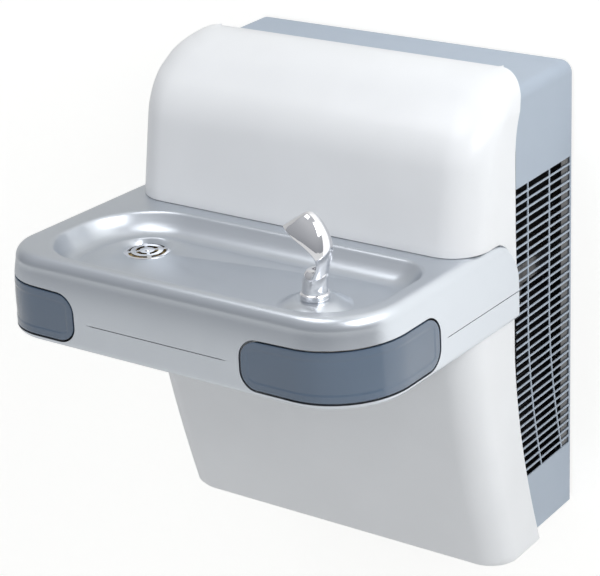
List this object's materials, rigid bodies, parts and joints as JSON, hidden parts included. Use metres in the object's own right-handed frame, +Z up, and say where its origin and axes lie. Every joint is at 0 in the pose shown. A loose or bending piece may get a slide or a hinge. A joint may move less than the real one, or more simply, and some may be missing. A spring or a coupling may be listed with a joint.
{
  "type": "barrier-free water cooler",
  "caption": "Wall-hung refrigerated drinking water cooler with a shallow basin, push pads, a bubbler, and a louvred steel cabinet behind moulded shells",
  "frame": {"origin": "centre of the cabinet's back face, on the wall plane", "axes": "+Z up, +Y into the wall, +X to the right as seen from the front"},
  "size_m": [0.5062, 0.475, 0.6006],
  "materials": {
    "white_shell": "smooth moulded white plastic, semi-gloss",
    "satin_steel": "satin stainless steel, softly reflecting",
    "cabinet_steel": "powder-coated steel, pale blue-grey",
    "pad_grey": "glossy blue-grey plastic",
    "polished_steel": "polished plated metal",
    "zinc_steel": "galvanised steel sheet",
    "brass": "plain machined brass",
    "black_rubber": "black rubber",
    "black_plastic": "matt black plastic",
    "tank_steel": "stainless steel tank",
    "foam": "rigid foam",
    "black_steel": "black painted steel",
    "fin_aluminium": "plain aluminium",
    "copper": "drawn copper tube"
  },
  "bodies": {
    "root": {"wall_bracket": "zinc_steel", "back_frame": "black_steel", "base_shelf": "zinc_steel", "cabinet_wrapper": "cabinet_steel", "upper_shroud": "white_shell", "lower_panel": "white_shell", "panel_screws": "zinc_steel", "basin": "satin_steel", "basin_apron": "satin_steel", "basin_support_left": "black_steel", "basin_support_right": "black_steel", "support_screws": "zinc_steel", "drain_strainer": "polished_steel", "strainer_screw": "polished_steel", "drain_gasket": "black_rubber", "drain_body": "brass", "drain_locknut": "brass", "waste_tube": "zinc_steel", "bubbler_gasket": "black_rubber", "bubbler": "polished_steel", "bubbler_nozzle": "polished_steel", "bubbler_locknut": "brass", "pad_carrier_right": "zinc_steel", "pad_carrier_left": "zinc_steel", "pad_springs_right": "zinc_steel", "pad_springs_left": "zinc_steel", "pad_switch_right": "black_plastic", "pad_switch_left": "black_plastic", "solenoid_valve": "brass", "solenoid_coil": "black_plastic", "valve_bracket": "zinc_steel", "inlet_fitting": "brass", "water_lines": "copper", "cooling_tank": "tank_steel", "evaporator_coil": "copper", "tank_insulation": "foam", "tank_bracket": "zinc_steel", "compressor": "black_steel", "compressor_feet": "black_rubber", "terminal_cover": "black_plastic", "condenser_fins": "black_steel", "condenser_tube": "black_steel", "fan_shroud": "black_steel", "fan_motor": "black_plastic", "filter_drier": "copper", "suction_line": "black_rubber", "condenser_lines": "black_steel", "capillary_tube": "copper", "thermostat": "fin_aluminium", "junction_box": "zinc_steel", "cord_gland": "black_plastic"},
    "pad_right": {"push_pad_right": "pad_grey"},
    "pad_left": {"push_pad_left": "pad_grey"},
    "switch_right": {"switch_plunger_right": "brass"},
    "switch_left": {"switch_plunger_left": "brass"},
    "valve_core": {"valve_plunger": "zinc_steel"},
    "adjuster": {"stream_adjuster": "brass"},
    "stat_shaft": {"thermostat_shaft": "black_plastic"},
    "fan": {"fan_blade": "fin_aluminium"}
  },
  "joints": [
    {"name": "pad_right_press", "type": "slide", "parent": "root", "child": "pad_right", "axis": [-0.7071, 0.7071, 0], "range_m": [0, 0.003], "stiffness_N_per_m": 900, "springref_m": -0.004, "deforming": ["pad_springs_right"]},
    {"name": "pad_left_press", "type": "slide", "parent": "root", "child": "pad_left", "axis": [0.7071, 0.7071, 0], "range_m": [0, 0.003], "stiffness_N_per_m": 900, "springref_m": -0.004, "deforming": ["pad_springs_left"]},
    {"name": "switch_right_slide", "type": "slide", "parent": "root", "child": "switch_right", "axis": [-0.7071, 0.7071, 0], "range_m": [0, 0.003]},
    {"name": "switch_left_slide", "type": "slide", "parent": "root", "child": "switch_left", "axis": [0.7071, 0.7071, 0], "range_m": [0, 0.003]},
    {"name": "valve_core_lift", "type": "slide", "parent": "root", "child": "valve_core", "axis": [0, 0, 1], "range_m": [0, 0.002], "stiffness_N_per_m": 300, "springref_m": -0.004},
    {"name": "adjuster_turn", "type": "hinge", "parent": "root", "child": "adjuster", "pos_m": [0.05, -0.214, -0.046], "axis": [0, -1, 0], "range_deg": [-180, 180]},
    {"name": "stat_turn", "type": "hinge", "parent": "root", "child": "stat_shaft", "pos_m": [0.04, -0.02, 0.019], "axis": [0, -1, 0], "range_deg": [-135, 135]},
    {"name": "fan_spin", "type": "hinge", "parent": "root", "child": "fan", "pos_m": [0.1382, -0.076, -0.096], "axis": [1, 0, 0], "continuous": true}
  ],
  "couplings": [
    {"joint": "switch_right_slide", "follows": "pad_right_press", "ratio": 1},
    {"joint": "switch_left_slide", "follows": "pad_left_press", "ratio": 1}
  ]
}
